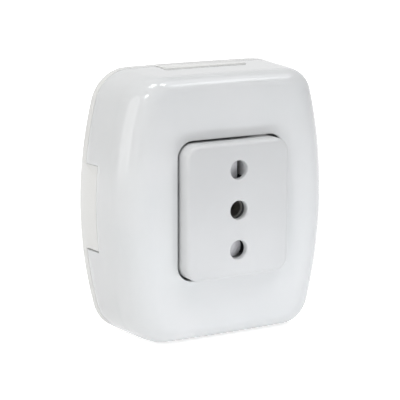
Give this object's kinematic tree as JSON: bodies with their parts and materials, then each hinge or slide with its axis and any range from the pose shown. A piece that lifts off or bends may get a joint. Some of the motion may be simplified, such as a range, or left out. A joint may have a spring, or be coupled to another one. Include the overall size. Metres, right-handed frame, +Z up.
{
  "type": "surface mounted socket",
  "caption": "Surface mounted socket outlet with a domed clip-on cover, a raised insert for a plug with three round pins in line, and sprung shutters.",
  "frame": {"origin": "centre of the back face, in the plane of the wall", "axes": "+Z up, +X to the right seen from the front, the front looks towards -Y"},
  "size_m": [0.0594, 0.0235, 0.064],
  "materials": {
    "cover_plastic": "moulded, high gloss",
    "base_plastic": "moulded, satin",
    "insert_plastic": "moulded, soft gloss",
    "body_plastic": "moulded, matt",
    "shutter_plastic": "moulded, matt",
    "contact_brass": "stamped",
    "terminal_metal": "nickel plated",
    "spring_steel": "drawn wire and strip",
    "screw_steel": "zinc plated"
  },
  "bodies": {
    "root": {"base": "base_plastic", "cover": "cover_plastic", "socket_front": "insert_plastic", "socket_body": "body_plastic", "socket_back": "body_plastic", "upper_shutter_spring": "spring_steel", "lower_shutter_spring": "spring_steel", "upper_contact": "contact_brass", "earth_contact": "contact_brass", "lower_contact": "contact_brass", "upper_sleeve": "spring_steel", "earth_sleeve": "spring_steel", "lower_sleeve": "spring_steel", "upper_terminal_block": "terminal_metal", "earth_terminal_block": "terminal_metal", "lower_terminal_block": "terminal_metal", "upper_terminal_screw": "screw_steel", "earth_terminal_screw": "screw_steel", "lower_terminal_screw": "screw_steel", "left_fixing_screw": "screw_steel", "right_fixing_screw": "screw_steel"},
    "upper_shutter": {"upper_shutter": "shutter_plastic"},
    "lower_shutter": {"lower_shutter": "shutter_plastic"}
  },
  "joints": [
    {"name": "upper_shutter_slide", "type": "slide", "parent": "root", "child": "upper_shutter", "axis": [-1, 0, 0], "range_m": [0, 0.0036], "stiffness_N_per_m": 60, "springref_m": -0.002, "deforming": ["upper_shutter_spring"]},
    {"name": "lower_shutter_slide", "type": "slide", "parent": "root", "child": "lower_shutter", "axis": [-1, 0, 0], "range_m": [0, 0.005], "stiffness_N_per_m": 60, "springref_m": -0.002, "deforming": ["lower_shutter_spring"]}
  ]
}
